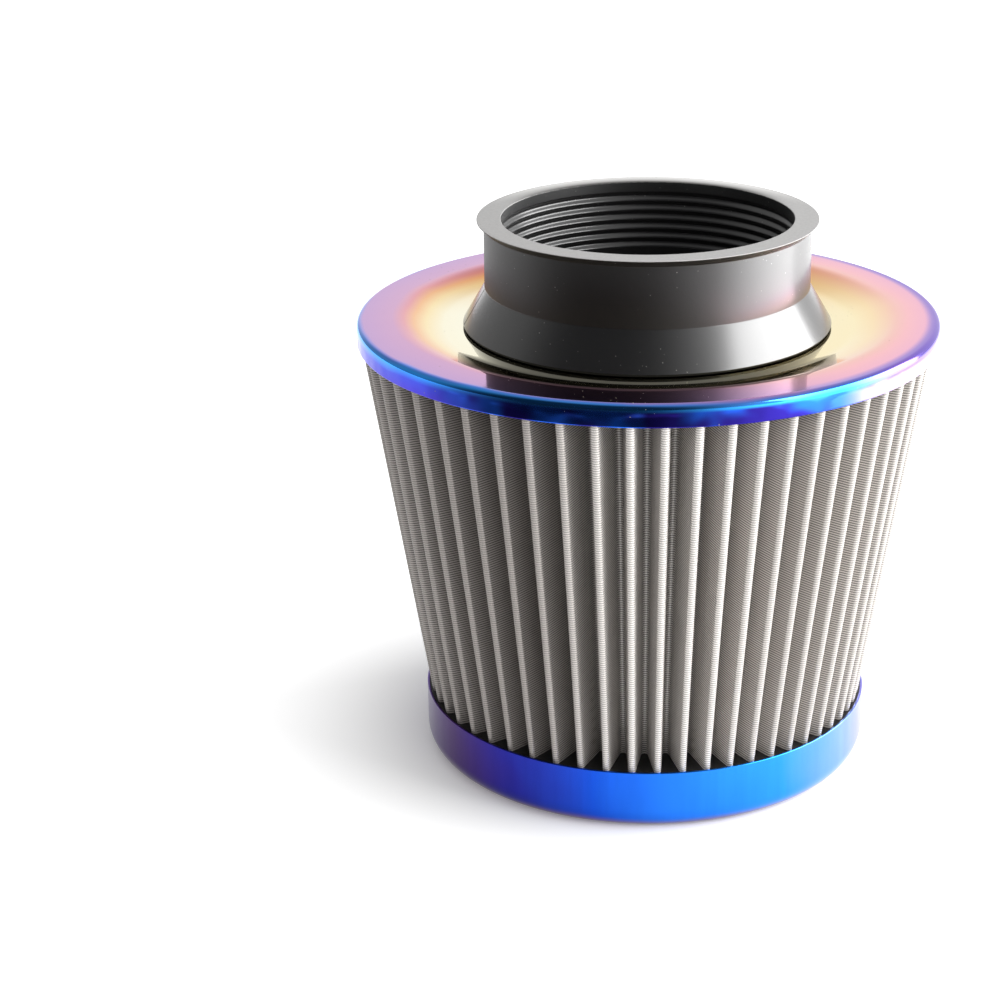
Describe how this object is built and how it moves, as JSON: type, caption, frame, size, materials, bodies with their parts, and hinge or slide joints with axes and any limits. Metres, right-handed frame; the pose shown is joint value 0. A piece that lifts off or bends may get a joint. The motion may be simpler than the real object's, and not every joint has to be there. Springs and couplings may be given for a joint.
{
  "type": "cold air intake filter",
  "caption": "Cone air filter with a pleated wire-cloth element between a heat-coloured steel plate and end cap, and a grooved rubber neck that clamps onto an engine's intake pipe.",
  "frame": {"origin": "centre of the end cap's underside, where the filter stands on its closed end", "axes": "+Z along the filter's axis out of the inlet, +X to the right in the picture, -Y towards the camera"},
  "size_m": [0.1526, 0.1526, 0.1471],
  "materials": {
    "neck_rubber": "moulded rubber, semi-gloss",
    "plate_steel": "polished and heat-coloured, straw in the middle to blue at the edge",
    "cap_steel": "polished and heat-coloured blue",
    "wire_cloth": "fine woven stainless wire",
    "backing_cloth": "woven stainless wire",
    "filter_gauze": "fibre gauze",
    "poured_seal": "poured polyurethane, satin"
  },
  "bodies": {
    "root": {"neck": "neck_rubber", "top_plate": "plate_steel", "top_seal": "poured_seal", "outer_mesh": "wire_cloth", "filter_media": "filter_gauze", "inner_mesh": "backing_cloth", "bottom_seal": "poured_seal", "end_cap": "cap_steel"}
  },
  "joints": []
}
